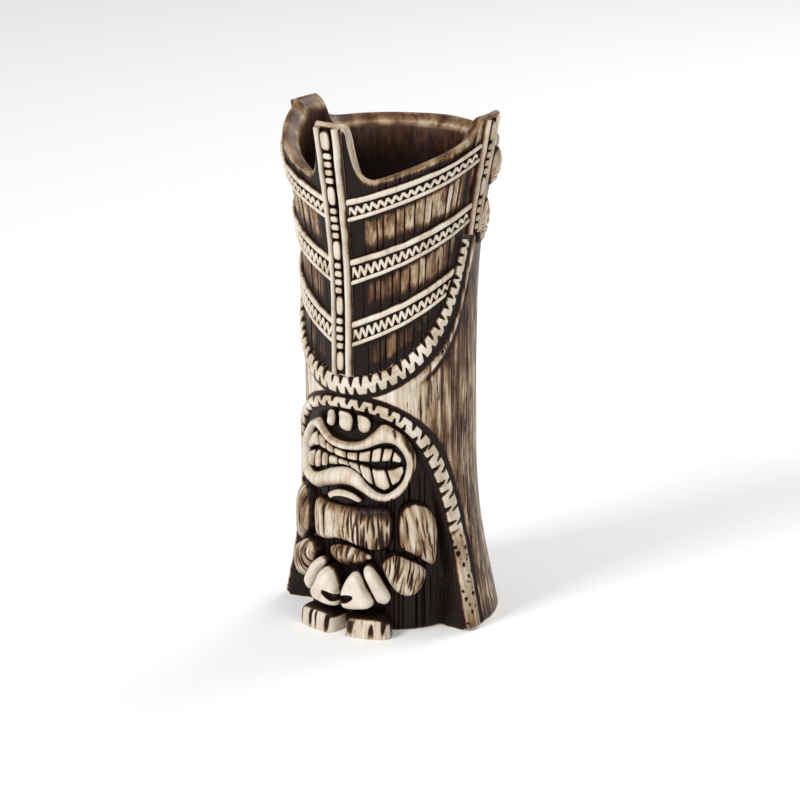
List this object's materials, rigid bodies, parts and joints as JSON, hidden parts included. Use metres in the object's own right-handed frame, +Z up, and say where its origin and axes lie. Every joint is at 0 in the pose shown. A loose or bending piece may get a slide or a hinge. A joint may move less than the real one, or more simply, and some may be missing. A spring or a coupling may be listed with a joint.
{
  "type": "tiki mug",
  "caption": "Tall ceramic tiki mug with a flared foot, a squatting figure in an arched niche, and a notched crown of three beaded posts and zigzag bands.",
  "frame": {"origin": "centre of the foot, on the surface the mug stands on", "axes": "+Z up along the mug; the figure faces -Y; +X is to the right of someone who faces the figure"},
  "size_m": [0.0898, 0.0889, 0.2],
  "materials": {
    "wood_wash_glaze": "satin glaze over a brown wash, streaked like wood",
    "cream_glaze": "satin cream glaze, dark wash left in the recesses",
    "tan_wash_glaze": "satin tan glaze, dark wash left in the grain"
  },
  "bodies": {
    "root": {"arch_toothed_band": "cream_glaze", "belly": "tan_wash_glaze", "bowl_toothed_band": "cream_glaze", "chest": "tan_wash_glaze", "chin": "cream_glaze", "cup": "wood_wash_glaze", "front_crest": "cream_glaze", "front_crest_beads": "cream_glaze", "head": "cream_glaze", "left_arm": "tan_wash_glaze", "left_bottom_band": "cream_glaze", "left_crest": "cream_glaze", "left_crest_beads": "cream_glaze", "left_foot": "cream_glaze", "left_hand": "cream_glaze", "left_lower_leaf": "tan_wash_glaze", "left_middle_band": "cream_glaze", "left_nostril": "cream_glaze", "left_shin": "cream_glaze", "left_thigh": "tan_wash_glaze", "left_top_band": "cream_glaze", "left_upper_leaf": "tan_wash_glaze", "lower_teeth": "cream_glaze", "middle_nostril": "cream_glaze", "right_arm": "tan_wash_glaze", "right_bottom_band": "cream_glaze", "right_crest": "cream_glaze", "right_crest_beads": "cream_glaze", "right_foot": "cream_glaze", "right_hand": "cream_glaze", "right_lower_leaf": "tan_wash_glaze", "right_middle_band": "cream_glaze", "right_nostril": "cream_glaze", "right_shin": "cream_glaze", "right_thigh": "tan_wash_glaze", "right_top_band": "cream_glaze", "right_upper_leaf": "tan_wash_glaze", "upper_teeth": "cream_glaze"}
  },
  "joints": []
}
